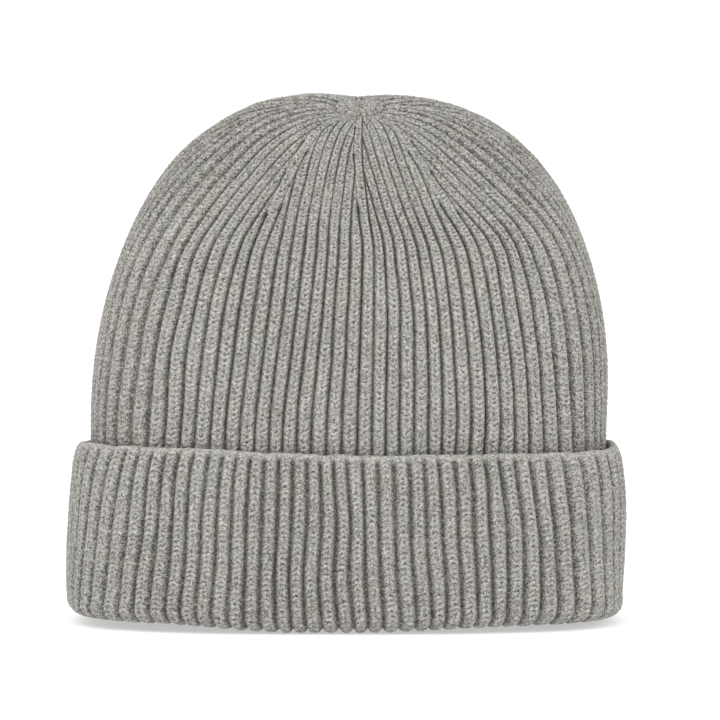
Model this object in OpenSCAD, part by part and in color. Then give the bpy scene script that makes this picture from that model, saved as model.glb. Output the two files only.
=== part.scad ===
// Knit beanie with a turned-up cuff: one rib-knit tube, drawn together at the crown and
// folded back on itself at the brim. It stands on the fold of its cuff, opened out into the
// oval it takes on a head. Millimetres, +Z up, front towards -Y, back seam at +Y, and the
// origin on the floor under the middle of the hat.

/* [Oval] */
// Half width of the body's outer face, left to right
body_half_w = 104; // [96:1:112]
// Half depth of the body's outer face, front to back
body_half_d = 60; // [54:1:76]
// Squareness of the oval: 2 is an ellipse, more is squarer
oval_power = 2.8; // [2.2:0.1:3.4]

/* [Knit] */
// Thickness of one layer of rib knit
knit_t = 4.8; // [3.6:0.2:5.6]

/* [Crown] */
// Height of the hat up its middle, before the crown leans forward
hat_h = 211.5; // [195:0.5:230]
// Height at which the sides start to curve in
shoulder_z = 77; // [72:1:95]
// Height at which the crown's decreases start
crown_z = 162; // [150:1:175]
// Fullness of the shoulder up the side: more keeps the wall upright for longer
full_up = 2.4; // [2:0.1:3]
// Fullness of the shoulder across the top: more keeps the top flat for longer
full_across = 2.45; // [2:0.05:3]
// Half width of the drawn-together stitches at the tip
gather_half_w = 8; // [6:0.5:11]
// Narrowing of the crown front to back: 1 keeps step with its width, and more flattens it
narrowing = 1.25; // [1:0.05:1.4]
// How far the tip leans forward, in degrees
lean_deg = 24; // [0:1:28]
// Height above which the crown leans
lean_z = 140; // [130:5:155]

/* [Cuff] */
// Height of the turned-up cuff
cuff_h = 70; // [58:1:71]
// Gap between the cuff and the band that it covers
cuff_gap = 2.8; // [2.4:0.1:3.6]
// Thickness of the cuff's layer of knit
cuff_t = 5; // [4:0.2:5.6]
// Height of the rounded fold that the hat stands on
fold_h = 4; // [3:0.5:6]
// Height of the cuff's closed top edge
edge_h = 4; // [3:0.5:6]

/* [Seams and label] */
// Width of the back seam's inside ridge
seam_w = 5; // [4:0.5:7]
// Depth of the back seam's inside ridge
seam_d = 2.6; // [1.6:0.2:3.4]
// Width of the blank care label
label_w = 26; // [18:1:32]
// Length of the blank care label, as it hangs
label_h = 40; // [28:1:50]
// Height of the label's top edge
label_top = 64; // [54:1:68]
// Stitches that hold the label to the seam
stitch_count = 7; // [4:1:10]

/* [Hidden] */

SEGMENTS = 72;
BODY_RINGS = 9;
CROWN_RINGS = 13;
SEAM_RINGS = 18;
CLEARANCE = 0.3;
FOLD_CLEARANCE = 0.5;
EDGE_LEAN = 2;
TIP_REACH = 0.2;
TIP_ROUNDNESS = 1.4;

cuff_half_w = body_half_w + cuff_gap + cuff_t;
cuff_half_d = body_half_d + cuff_gap + cuff_t;
band_bottom = fold_h + FOLD_CLEARANCE;
tip_fraction = gather_half_w / body_half_w;
thread_r = 0.8;
thread_ring_r = 3;
knot_r = 2.2;
label_t = 0.8;
label_gap = 1.6;
stitch_w = 1.6;
stitch_t = 0.6;
stitch_h = 3;
cuff_seam_w = 4;
cuff_seam_t = 1.2;

wool = [0.60, 0.585, 0.565];
wool_dark = [0.50, 0.49, 0.47];
satin = [0.92, 0.91, 0.88];

// Oval outline

function signed_power(v, p) = sign(v) * pow(abs(v), p);

function oval(half_w, half_d) = [
    for (i = [0 : SEGMENTS - 1])
        let (turn = 360 * i / SEGMENTS)
            [half_w * signed_power(cos(turn), 2 / oval_power),
             half_d * signed_power(sin(turn), 2 / oval_power)]
];

module oval_ring(outer_w, outer_d, inner_w, inner_d, z0, z1) {
    translate([0, 0, z0])
        linear_extrude(z1 - z0)
            difference() {
                polygon(oval(outer_w, outer_d));
                polygon(oval(inner_w, inner_d));
            }
}

// Side profile: how much of its full width the hat keeps at a height, and the other way
// round, for a layer that lies inset inside the outer face

function kept_width(z, inset) =
    z <= shoulder_z ? 1
    : pow(1 - pow((z - shoulder_z) / (hat_h - inset - shoulder_z), full_up), 1 / full_across);

function height_at(fraction, inset) =
    shoulder_z + (hat_h - inset - shoulder_z)
        * pow(1 - pow(fraction, full_across), 1 / full_up);

// Depth that it keeps there: the crown narrows faster front to back than left to right,
// and turns nearly round at the tip

function kept_depth(fraction) =
    let (at_tip = exp(-pow(fraction / TIP_REACH, 2)))
        fraction * (pow(fraction, narrowing - 1) * (1 - at_tip) + TIP_ROUNDNESS * at_tip);

// The crown leans forward along a smooth bend: turn is a smoothstep of the height, and the
// bend's middle line is that turn's sine and cosine summed up the hat

function lean(p) =
    let (
        reach = hat_h - lean_z,
        t = min(1, max(0, (p[2] - lean_z) / reach)),
        turn = lean_deg * t * t * (3 - 2 * t),
        forward = reach * sin(lean_deg) * (pow(t, 3) - pow(t, 4) / 2),
        drop = reach * (1 - cos(lean_deg)) * (9 / 5 * pow(t, 5) - 2 * pow(t, 6) + 4 / 7 * pow(t, 7))
    )
        [p[0], p[1] * cos(turn) - forward, p[2] - drop + p[1] * sin(turn)];

module at_tip() {
    translate(lean([0, 0, hat_h])) rotate([lean_deg, 0, 0]) children();
}

function layer_ring(fraction, z, inset) = [
    for (p = oval((body_half_w - inset) * fraction, (body_half_d - inset) * kept_depth(fraction)))
        lean([p[0], p[1], z])
];

function wall_rings(z0, z1, inset) = [
    for (k = [0 : BODY_RINGS])
        let (z = z0 + (z1 - z0) * k / BODY_RINGS)
            layer_ring(kept_width(z, inset), z, inset)
];

function dome_rings(z0, inset) = [
    for (k = [0 : CROWN_RINGS])
        let (start = kept_width(z0, inset),
             fraction = start + (tip_fraction - start) * k / CROWN_RINGS,
             z = k == 0 ? z0 : height_at(fraction, inset))
            layer_ring(fraction, z, inset)
];

// A closed wall between an outer and an inner stack of rings

function flat_points(rings) = [for (ring = rings) for (p = ring) p];

function strip(a, b) = [
    for (i = [0 : SEGMENTS - 1])
        let (j = (i + 1) % SEGMENTS)
            each [[a + i, b + i, b + j], [a + i, b + j, a + j]]
];

module layer_wall(outer, inner) {
    rings = len(outer);
    inside = rings * SEGMENTS;
    top = (rings - 1) * SEGMENTS;
    polyhedron(
        points = concat(flat_points(outer), flat_points(inner)),
        faces = concat(
            [for (k = [0 : rings - 2]) each strip(k * SEGMENTS, (k + 1) * SEGMENTS)],
            [for (k = [0 : rings - 2])
                each strip(inside + (k + 1) * SEGMENTS, inside + k * SEGMENTS)],
            strip(inside, 0),
            strip(top, inside + top)
        )
    );
}

// Knit of the hat

module crown() {
    color(wool) layer_wall(dome_rings(crown_z, 0), dome_rings(crown_z, knit_t));
}

module body() {
    color(wool) layer_wall(wall_rings(cuff_h, crown_z, 0), wall_rings(cuff_h, crown_z, knit_t));
}

module inner_band() {
    color(wool)
        oval_ring(body_half_w, body_half_d, body_half_w - knit_t, body_half_d - knit_t,
                  band_bottom, cuff_h);
}

module crown_gather() {
    tip_w = tip_fraction * (body_half_w - knit_t) - CLEARANCE;
    tip_d = kept_depth(tip_fraction) * (body_half_d - knit_t) - CLEARANCE;
    color(wool_dark)
        at_tip() translate([0, 0, -knit_t])
            linear_extrude(knit_t)
                polygon(oval(tip_w, tip_d));
}

module draw_thread() {
    color(wool_dark)
        at_tip() translate([0, 0, -knit_t - thread_r])
            rotate_extrude($fn = 48)
                translate([thread_ring_r, 0])
                    circle(r = thread_r, $fn = 24);
}

module draw_knot() {
    color(wool_dark)
        at_tip() translate([0, 0, -knit_t - 2 * thread_r - knot_r])
            sphere(r = knot_r, $fn = 32);
}

// Back seam: a ridge that follows the inside of the knit at the back, from brim to tip

module back_seam() {
    near = knit_t + CLEARANCE;
    far = near + seam_d;
    last = 2 * tip_fraction;
    fractions = [for (k = [0 : SEAM_RINGS]) 1 + (last - 1) * k / SEAM_RINGS];
    stations = concat(
        [[body_half_d - near, body_half_d - far, band_bottom, band_bottom]],
        [for (f = fractions)
            [(body_half_d - near) * kept_depth(f), (body_half_d - far) * kept_depth(f),
             height_at(f, near), height_at(f, far)]]
    );
    count = len(stations);
    half = seam_w / 2;
    color(wool_dark)
        polyhedron(
            points = [for (s = stations) each [
                lean([-half, s[0], s[2]]), lean([half, s[0], s[2]]),
                lean([half, s[1], s[3]]), lean([-half, s[1], s[3]])
            ]],
            faces = concat(
                [[0, 1, 2, 3]],
                [for (k = [0 : count - 2], i = [0 : 3])
                    let (j = (i + 1) % 4, a = 4 * k, b = 4 * k + 4)
                        [a + i, b + i, b + j, a + j]],
                [[4 * count - 1, 4 * count - 2, 4 * count - 3, 4 * count - 4]]
            )
        );
}

// Blank care label, caught in the back seam along one edge

label_x = seam_w / 2 + CLEARANCE;
label_y = body_half_d - knit_t - label_gap - label_t;

module care_label() {
    color(satin)
        translate([label_x, label_y, label_top - label_h])
            cube([label_w, label_t, label_h]);
}

module label_stitches() {
    pitch = (label_h - stitch_h) / (stitch_count - 1);
    color(wool_dark)
        for (k = [0 : stitch_count - 1])
            translate([label_x + stitch_w / 2, label_y - stitch_t, label_top - label_h + k * pitch])
                cube([stitch_w, stitch_t, stitch_h]);
}

// Cuff, which turns down as one piece

module cuff() {
    color(wool)
        oval_ring(cuff_half_w, cuff_half_d, cuff_half_w - cuff_t, cuff_half_d - cuff_t,
                  fold_h, cuff_h - edge_h);
}

module cuff_edge() {
    color(wool)
        oval_ring(cuff_half_w - EDGE_LEAN, cuff_half_d - EDGE_LEAN,
                  cuff_half_w - cuff_t - EDGE_LEAN, cuff_half_d - cuff_t - EDGE_LEAN,
                  cuff_h - edge_h, cuff_h);
}

module cuff_fold() {
    color(wool)
        oval_ring(cuff_half_w, cuff_half_d, body_half_w - knit_t, body_half_d - knit_t,
                  0, fold_h);
}

module cuff_seam() {
    color(wool_dark)
        translate([-cuff_seam_w / 2, cuff_half_d - cuff_t - CLEARANCE - cuff_seam_t, fold_h])
            cube([cuff_seam_w, cuff_seam_t, cuff_h - edge_h - fold_h]);
}

crown();
crown_gather();
draw_thread();
draw_knot();
body();
inner_band();
back_seam();
care_label();
label_stitches();
cuff();
cuff_edge();
cuff_fold();
cuff_seam();
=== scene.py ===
"""A rib-knit beanie with a turned-up cuff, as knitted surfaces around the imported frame.

Every knitted piece is one closed layer of rib knit. Its base surface is an oval outline carried
along a path (up the hat, or round the fold of the cuff), and the ribs, the V stitches and the
grooves are raised and sunk along that surface's normal. Lengths inside the shape functions are
in millimetres, and a mesh is written in metres.
"""

import math

import bpy
import numpy as np
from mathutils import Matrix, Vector


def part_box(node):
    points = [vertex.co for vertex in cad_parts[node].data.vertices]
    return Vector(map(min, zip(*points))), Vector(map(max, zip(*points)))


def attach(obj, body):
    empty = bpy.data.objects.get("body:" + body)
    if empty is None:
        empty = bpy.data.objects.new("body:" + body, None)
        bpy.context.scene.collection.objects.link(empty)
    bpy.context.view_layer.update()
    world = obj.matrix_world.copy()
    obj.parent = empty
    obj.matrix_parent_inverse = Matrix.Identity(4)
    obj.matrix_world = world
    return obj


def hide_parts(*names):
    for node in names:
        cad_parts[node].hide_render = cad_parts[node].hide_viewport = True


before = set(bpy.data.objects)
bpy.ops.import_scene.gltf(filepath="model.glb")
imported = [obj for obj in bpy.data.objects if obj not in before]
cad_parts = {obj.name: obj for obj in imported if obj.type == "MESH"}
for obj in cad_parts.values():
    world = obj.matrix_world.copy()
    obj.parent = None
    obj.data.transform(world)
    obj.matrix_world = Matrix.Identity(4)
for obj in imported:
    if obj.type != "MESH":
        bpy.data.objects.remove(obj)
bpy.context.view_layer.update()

MM = 0.001

# Sizes read from the frame, in millimetres
BODY_HALF_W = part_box("inner_band")[1].x / MM
BODY_HALF_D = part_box("inner_band")[1].y / MM
BAND_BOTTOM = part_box("inner_band")[0].z / MM
CUFF_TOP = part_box("cuff_edge")[1].z / MM
CUFF_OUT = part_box("cuff")[1].x / MM - BODY_HALF_W
GATHER_HALF_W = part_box("crown_gather")[1].x / MM
SEAM_W = 2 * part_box("back_seam")[1].x / MM
CUFF_SEAM_W = 2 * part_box("cuff_seam")[1].x / MM

# The crown's ribs end this far outside the frame's gathered disc
GATHER_MARGIN = 1.2
TIP_HALF_W = GATHER_HALF_W + GATHER_MARGIN

# The knit's thickness, the back seam's depth, and the shape of the oval and the side profile
KNIT_T = 4.8
SEAM_D = 2.6
OVAL_POWER = 2.8
HAT_UP = 211.5
SHOULDER_Z = 77.0
CROWN_START = 162.0
FULL_UP = 2.4
FULL_ACROSS = 2.45

# The knit: ribs round the hat, the height of a stitch, and the ribs that run up to the tip
RIBS = 88
STITCH_H = 2.16
SPINES = [-44, -35, -22, -9, 0, 9, 22, 35, 44]
CORNER_STRETCH = 0.28
CROWN_DECREASE = 0.7
FLANK_FLATNESS = 0.5

# Heights of the relief in millimetres, and how far a leg climbs outwards, in stitches
RIB_DEPTH = 2.5
RIB_ROUND = 0.3
LEG_RISE = 0.4
CREASE_DEPTH = 0.18
HOLE_DEPTH = 0.34
RUNG_RISE = 0.3
LEG_SLOPE = 0.85

# How finely a rib and a stitch are drawn
ACROSS = np.array([-0.5, -0.45, -0.38, -0.28, -0.17, -0.07, 0.0, 0.07, 0.17, 0.28, 0.38, 0.45])
FINE_ROWS = 5
ROWS_PER_STITCH = FINE_ROWS

rng = np.random.default_rng(21)


# ---------------------------------------------------------------- small curves


def smooth(t):
    """The smoothstep 3t^2 - 2t^3, level outside 0 to 1."""
    t = np.clip(t, 0, 1)
    return t * t * (3 - 2 * t)


def bell(t):
    """The bell curve exp(-t^2)."""
    return np.exp(-(t**2))


def ripple(phase):
    """A cosine that is 1 at whole numbers and 0 halfway between them."""
    return 0.5 + 0.5 * np.cos(2 * math.pi * phase)


# ---------------------------------------------------------------- outline and side profile


def make_outline_table():
    """Unit superellipse |x|^p + |y|^p = 1, sampled by angle. Its arc length, at the body's
    size, is counted in ribs from the front centre, positive towards +X."""
    turn = np.linspace(-math.pi, math.pi, 16385)
    x = np.sign(np.sin(turn)) * np.abs(np.sin(turn)) ** (2 / OVAL_POWER)
    y = -np.sign(np.cos(turn)) * np.abs(np.cos(turn)) ** (2 / OVAL_POWER)
    dx, dy = np.diff(x) * BODY_HALF_W, np.diff(y) * BODY_HALF_D
    step = np.hypot(dx, dy)
    # the knit is stretched round the four corners, where the ribs stand further apart
    corner = (2 * dx * dy / np.maximum(step, 1e-12) ** 2) ** 2
    ribs = np.concatenate([[0.0], np.cumsum(step * (1 - CORNER_STRETCH * corner))])
    pitch = ribs[-1] / RIBS
    return ribs / pitch - RIBS / 2, x, y, pitch


OUTLINE = make_outline_table()
RIB_PITCH = OUTLINE[3]


def outline(rib):
    """Point of the unit oval at a rib number, which runs on past either end of the loop."""
    wrapped = (rib + RIBS / 2) % RIBS - RIBS / 2
    return np.interp(wrapped, OUTLINE[0], OUTLINE[1]), np.interp(wrapped, OUTLINE[0], OUTLINE[2])


def make_side_table():
    """Height and kept width up the hat's side, against the number of stitches from the brim:
    straight to the shoulder, then (1 - t^n)^(1/m), measured along an average meridian."""
    average_half = 0.5 * (BODY_HALF_W + BODY_HALF_D)
    tip = TIP_HALF_W / BODY_HALF_W
    width = 1 - (1 - tip) * np.linspace(0, 1, 6001) ** 1.6
    rise = (1 - width**FULL_ACROSS) ** (1 / FULL_UP)
    height = SHOULDER_Z + (HAT_UP - SHOULDER_Z) * rise
    length = np.concatenate([[0.0], np.cumsum(np.hypot(np.diff(height), np.diff(width) * average_half))])
    stitches = (SHOULDER_Z + length) / STITCH_H
    return (
        np.concatenate([[0.0], stitches]),
        np.concatenate([[0.0], height]),
        np.concatenate([[1.0], width]),
    )


SIDE = make_side_table()


def side(row):
    """Height and kept width at a row of stitches."""
    return np.interp(row, SIDE[0], SIDE[1]), np.interp(row, SIDE[0], SIDE[2])


def row_at(height):
    """The row of stitches that lies at a height."""
    return float(np.interp(height, SIDE[1], SIDE[0]))


TOP_ROW = float(SIDE[0][-1])
CROWN_ROW = row_at(CROWN_START)
JOIN_ROW = row_at(CUFF_TOP - 5)


def grain(x, y, seed):
    """Smooth value noise between -1 and 1: random numbers on a unit lattice, blended between."""
    table = np.random.default_rng(seed).uniform(-1, 1, (256, 256))
    x, y = np.broadcast_arrays(x, y)
    column, line = np.floor(x).astype(int), np.floor(y).astype(int)
    right, up = smooth(x - column), smooth(y - line)
    a = table[column % 256, line % 256]
    b = table[(column + 1) % 256, line % 256]
    c = table[column % 256, (line + 1) % 256]
    d = table[(column + 1) % 256, (line + 1) % 256]
    return (a * (1 - right) + b * right) * (1 - up) + (c * (1 - right) + d * right) * up


def wander(rib, row, seed):
    """Small sideways wander of single ribs, in ribs, fading out towards the back seam."""
    return grain(rib * 0.45 + 60, row * 0.1, seed) * (1 - np.minimum(np.abs(rib) / (RIBS / 2), 1) ** 6)


def waves(rib, row, count, longest, seed):
    """A soft random field: a sum of sines, periodic round the hat, between about -1 and 1."""
    local = np.random.default_rng(seed)
    total = np.zeros(np.broadcast(rib, row).shape)
    for _ in range(count):
        around = local.integers(1, 9)
        up = local.uniform(-2, 2) * 2 * math.pi / longest
        total = total + np.sin(rib * around * 2 * math.pi / RIBS + row * up + local.uniform(0, 6.28))
    return total / math.sqrt(count * 2)


# ---------------------------------------------------------------- base surfaces

# The lean of the top, how it narrows front to back, and how far it slouches to one side
LEAN_DEG = 24.0
LEAN_Z = 140.0
NARROWING = 1.25
TIP_REACH = 0.2
TIP_ROUNDNESS = 1.4
SLOUCH = 2.8
TIP_SLOUCH = 1.8

# The dent round the tip, and the bumps along the top: height, place and width in millimetres
TIP_DENT = 1.6
TOP_BUMPS = [(1.4, -34, 14), (0.6, -15, 8), (-1.1, 4, 9)]

# How the ribs run, in ribs: the sway shared by neighbours, the wander of single ones, how far
# the front is turned to one side, and how far they close up halfway up and near the tip
SWAY = 0.14
WANDER = 0.09
FRONT_TURN = 1.0
CLOSE_UP = 0.75
CLOSE_UP_TIP = 0.6

# How far the filled hat bulges, in millimetres: soft waves, and all round at one height
BULGE_WAVES = 1.0
BULGE = 0.9
BULGE_Z = 130


def kept_depth(kept):
    """Share of its depth that the hat keeps at a share of its width: it narrows faster front
    to back, and turns nearly round at the tip."""
    at_tip = bell(kept / TIP_REACH)
    return kept * (kept ** (NARROWING - 1) * (1 - at_tip) + TIP_ROUNDNESS * at_tip)


def lean_forward(p):
    """Bends the top of the hat forwards. The turn is a smoothstep of the height, and the
    bend's middle line is that turn's sine and cosine summed up the hat."""
    reach = HAT_UP - LEAN_Z
    t = np.clip((p[..., 2] - LEAN_Z) / reach, 0, 1)
    most = math.radians(LEAN_DEG)
    angle = most * smooth(t)
    forward = reach * math.sin(most) * (t**3 - t**4 / 2)
    drop = reach * (1 - math.cos(most)) * (9 / 5 * t**5 - 2 * t**6 + 4 / 7 * t**7)
    y = p[..., 1]
    out = p.copy()
    out[..., 1] = y * np.cos(angle) - forward
    out[..., 2] = p[..., 2] - drop + y * np.sin(angle)
    return out


def hat_point(rib, z, kept, swell):
    """A point of the hat's outer face: the oval scaled by the kept width and depth, with a
    broad dent and a small peak at the tip, slouched a little to one side and leant forwards."""
    x, y = outline(rib)
    away = kept * BODY_HALF_W
    tip = TIP_DENT * (bell(away / 8) - bell(away / 24))
    slouch = SLOUCH * smooth((z - 60) / 110) + TIP_SLOUCH * bell(away / 40)
    wide = (BODY_HALF_W + swell) * kept * x + slouch
    deep = (BODY_HALF_D + swell) * kept_depth(kept) * y
    bumps = sum(rise * bell((wide - place) / width) for rise, place, width in TOP_BUMPS)
    return lean_forward(np.stack([wide, deep, z + tip + bumps * smooth((z - 190) / 14)], -1))


def hat_base(rib, row):
    """The hat's outer face without its ribs, pushed in and out by soft waves, with its ribs
    wandering a little from side to side."""
    z, kept = side(row)
    sway = SWAY * waves(rib, row, count=6, longest=60, seed=3) * smooth(row / 20) * kept
    turned = FRONT_TURN * (1 - 0.7 * smooth((z - 150) / 60)) * ripple(rib / RIBS)
    # the ribs close up towards the middle of the front and of the back as they climb
    closing = CLOSE_UP * smooth((z - 70) / 80) + CLOSE_UP_TIP * smooth((z - 150) / 50)
    turned = turned - closing * np.sin(4 * math.pi * rib / RIBS)
    soft = waves(rib, row, count=7, longest=90, seed=5) * smooth((row - 32) / 20)
    swell = BULGE_WAVES * soft - 0.5
    swell = swell + BULGE * bell((z - BULGE_Z) / 28)
    own = WANDER * wander(rib, row, 51) * smooth(row / 10)
    return hat_point(rib + sway + turned + own, z, kept, swell)


# The fold's outer and inner radius, and the lip inside it
FOLD_R = (CUFF_OUT + KNIT_T) / 2
INNER_FOLD_R = (CUFF_OUT - KNIT_T) / 2
LIP_TOP = FOLD_R + 0.4

# How far the fold's underside is raised, in millimetres: everywhere, and more at the left and
# at the right side; and the height at which this has faded out
FOLD_LIFT = 0.8
FOLD_LIFT_LEFT = 2.9
FOLD_LIFT_RIGHT = 2.0
LIFT_FADES = 45.0

# How far the cuff's ribs lean sideways at its top, in millimetres: at the middle, more towards
# the left and the right side, and bending back at both; and the pitch of its ribs
LEAN_MIDDLE = -2.3
LEAN_LEFT = -7.0
LEAN_RIGHT = -5.1
LEAN_BEND = 4.2
CUFF_PITCH = 6.2

# The cuff's rim, in millimetres: its waves, the unevenness of single ribs, how far its front
# rises to the left and dips at the middle. Then the sideways slide of the cuff at its fold, and
# the soft waves of its face.
RIM_WAVES = 0.5
RIM_RIBS = 0.35
RIM_RISE_LEFT = 2.2
RIM_DIP = 0.3
CUFF_SLIDE = -1.0
CUFF_WAVES = 0.7


def path_table(points):
    """Cumulative length of a polyline, and its points, for looking a point up by length."""
    points = np.array(points, float)
    length = np.concatenate([[0.0], np.cumsum(np.linalg.norm(np.diff(points, axis=0), axis=1))])
    return length, points


def rounded(points, per_span=12):
    """A smooth Catmull-Rom curve through a few given points."""
    points = np.array(points, float)
    padded = np.vstack([2 * points[0] - points[1], points, 2 * points[-1] - points[-2]])
    t = np.linspace(0, 1, per_span, endpoint=False)[:, None]
    spans = []
    for k in range(len(points) - 1):
        a, b, c, d = padded[k : k + 4]
        square, cube = 2 * a - 5 * b + 4 * c - d, 3 * b - a - 3 * c + d
        spans.append(0.5 * (2 * b + (c - a) * t + square * t**2 + cube * t**3))
    spans.append(points[-1:])
    return np.vstack(spans)


def half_circle(outset, radius, steps=24):
    """The underside of the fold: from the outer face down, under and up to the inner face."""
    turn = np.linspace(0, math.pi, steps)[1:-1]
    return np.stack([outset - radius + radius * np.cos(turn), FOLD_R - radius * np.sin(turn)], -1)


# How far the cuff's faces stand out from the body's outline, and their heights
CUFF_OUTER_PATH = path_table(
    np.vstack(
        [
            rounded(
                [
                    (2.0, CUFF_TOP + 1.3),
                    (3.6, CUFF_TOP + 1.1),
                    (5.0, CUFF_TOP - 0.7),
                    (6.2, CUFF_TOP - 5.0),
                    (7.1, CUFF_TOP - 12.0),
                    (CUFF_OUT, CUFF_TOP - 24.0),
                    (CUFF_OUT + 0.3, 24.0),
                    (CUFF_OUT, FOLD_R),
                ]
            ),
            half_circle(CUFF_OUT, FOLD_R),
            [(-KNIT_T, FOLD_R), (-KNIT_T, LIP_TOP)],
        ]
    )
)
CUFF_HIDDEN_PATH = path_table(
    np.vstack(
        [
            rounded(
                [
                    (2.0, CUFF_TOP + 1.3),
                    (1.2, CUFF_TOP + 0.5),
                    (1.1, CUFF_TOP - 2.0),
                    (1.7, CUFF_TOP - 8.0),
                    (2.9, CUFF_TOP - 20.0),
                    (3.1, 24.0),
                    (CUFF_OUT - KNIT_T, FOLD_R),
                ]
            ),
            half_circle(CUFF_OUT - KNIT_T, INNER_FOLD_R),
            [(0.0, FOLD_R), (0.0, LIP_TOP)],
        ]
    )
)


def fold_lift(x0):
    """How far the fold's underside is raised: a little everywhere, and more at the two sides."""
    left_side = FOLD_LIFT_LEFT * smooth((-x0 - 0.2) / 0.5)
    right_side = FOLD_LIFT_RIGHT * smooth(x0 / 0.7)
    return FOLD_LIFT + left_side + right_side


def cuff_base(rib, length, path):
    """The cuff's face without its ribs: a point of the path stands out from the oval by the
    path's outset, and the ribs lean sideways a little towards the top."""
    outset = np.interp(length, path[0], path[1][:, 0])
    z = np.interp(length, path[0], path[1][:, 1])
    x0, _ = outline(rib)
    height = np.clip(z / CUFF_TOP, 0, 1)
    leaning = np.where(x0 < 0, LEAN_LEFT, LEAN_RIGHT) * x0
    shift = (LEAN_MIDDLE + leaning + LEAN_BEND * x0**2) * height / CUFF_PITCH
    row = z / STITCH_H
    wobble = WANDER * (waves(rib, row, count=6, longest=50, seed=11) + wander(rib, row, 53))
    x, y = outline(rib + shift + wobble)
    near_top = smooth((z - 45) / 20)
    soft = waves(rib, row, count=6, longest=70, seed=13) * smooth(z / 12)
    swell = CUFF_WAVES * soft * (1 - 0.8 * near_top)
    front = smooth(0.5 - y)
    rim = RIM_WAVES * waves(rib, 0 * z, count=5, longest=60, seed=17)
    rim = rim + RIM_RIBS * grain(rib * 0.9, 0 * z, 55)
    rim = rim + front * (RIM_RISE_LEFT * smooth(-x0 / 0.6) - RIM_DIP * (1 - x0**4))
    rim = rim * smooth((z - 45) / 22)
    slide = CUFF_SLIDE * (1 - height)
    lift = fold_lift(x0) * (1 - smooth(z / LIFT_FADES))
    wide = (BODY_HALF_W + outset + swell) * x + slide
    return np.stack([wide, (BODY_HALF_D + outset + swell) * y, z + rim + lift], -1)


def normals_of(surface, a, b, step=0.05):
    """Unit normals of a surface function, by central differences in its two parameters."""
    across = surface(a + step, b) - surface(a - step, b)
    along = surface(a, b + step) - surface(a, b - step)
    n = np.cross(across, along)
    return n / np.maximum(np.linalg.norm(n, axis=-1, keepdims=True), 1e-9)


# ---------------------------------------------------------------- rib and stitch relief

# Fullness and shift of each rib, and fullness of each leg, so that no two are quite alike
RIB_NUMBERS = 4 * RIBS
MOST_STITCHES = 160
RIB_FULL = rng.uniform(0.84, 1.14, RIB_NUMBERS)
RIB_SHIFT = rng.uniform(-0.1, 0.1, RIB_NUMBERS)
LEG_FULL = rng.uniform(0.35, 1.45, (2, RIB_NUMBERS, MOST_STITCHES))

# Half the width of a groove's floor on the hat and on the cuff, and the width of the slope
# that climbs out of it, in ribs
GROOVE_FLOOR = 0.012
CUFF_GROOVE = 0.045
SLOPE = 0.33
CUFF_SLOPE = 0.37


def rib_profile(edge, floor=0.0, slope=SLOPE):
    """Height across a rib from 0 in the groove to 1: it climbs steeply out of the groove and
    is nearly flat on top. edge is the distance to the nearest groove, in ribs."""
    return 1 - (1 - np.clip((edge - floor) / slope, 0, 1)) ** 2.4


def relief(u, v, edge, number, groove=GROOVE_FLOOR, slope=SLOPE):
    """Height of the knit above its base surface, and its painted light, 0 to 1: how open it lies to the
    light, painted into the wool's colour as shade in the grooves, creases and holes and as light on the
    legs.
    A rib is rib_profile, lowered between its two columns of legs. Each leg is a ridge that
    climbs outwards from the rib's middle by LEG_SLOPE stitches, so that the two legs of a
    stitch make a V, with a small hole where they meet. In the groove lie faint rungs. Random
    numbers per leg and fine value noise make every stitch a little different."""
    index = np.round(number).astype(int) % RIB_NUMBERS
    row_phase = v + RIB_SHIFT[index] + 0.05 * grain(number + u, v * 0.8, 31)
    q = np.abs(u) / 0.5
    phase = row_phase - LEG_SLOPE * q
    stitch = np.clip(np.floor(phase).astype(int), 0, MOST_STITCHES - 1)
    leg_side = (u > 0).astype(int)
    full = LEG_FULL[leg_side, index, stitch]
    leg = (0.5 - 0.5 * np.cos(2 * math.pi * phase)) ** 0.8
    floor = groove + 0.04 * grain(number * 3.7, v * 0.16, 33)
    body = rib_profile(edge, floor, slope)
    on_rib = smooth((edge - floor) / 0.18)
    crease = bell(u / 0.08)
    hole = bell(u / 0.11) * ripple(row_phase - 0.1) ** 3
    rung = (1 - on_rib) * ripple(row_phase)
    place = number + u
    wool_noise = 0.17 * grain(place * 6.1, v * 2.5, 35) + 0.10 * grain(place * 11.3, v * 4.7, 37)
    height = (
        RIB_DEPTH * (body - 1) * RIB_FULL[index]
        + RIB_ROUND * (1 - q**2)
        + on_rib * (LEG_RISE * leg * full - CREASE_DEPTH * crease - HOLE_DEPTH * hole)
        + RUNG_RISE * rung
        + wool_noise * (0.4 + 0.6 * on_rib)
    )
    # painted light on the raised legs, and painted shade in the groove, the crease and the hole
    painted_leg_light = 0.62 + 0.38 * leg * on_rib * np.minimum(full, 1.1)
    open_to_light = body * painted_leg_light * (1 - 0.22 * crease) * (1 - 0.6 * hole * on_rib)
    return height, open_to_light


# ---------------------------------------------------------------- mesh building


def strip(fine, coarse):
    """Triangles between a row of fine points and a row with half as many."""
    f0, f1, f2 = fine[:-2:2], fine[1:-1:2], fine[2::2]
    c0, c1 = coarse[:-1], coarse[1:]
    return np.concatenate(
        [np.stack([f0, c0, f1], -1), np.stack([f1, c0, c1], -1), np.stack([f1, c1, f2], -1)]
    )


def grid_triangles(index):
    """Two triangles for each cell of a grid of vertex numbers, facing the side from which the
    columns run right and the rows run up."""
    a, b = index[:-1, :-1].ravel(), index[:-1, 1:].ravel()
    d, c = index[1:, :-1].ravel(), index[1:, 1:].ravel()
    return np.concatenate([np.stack([a, b, c], -1), np.stack([a, c, d], -1)])


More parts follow.
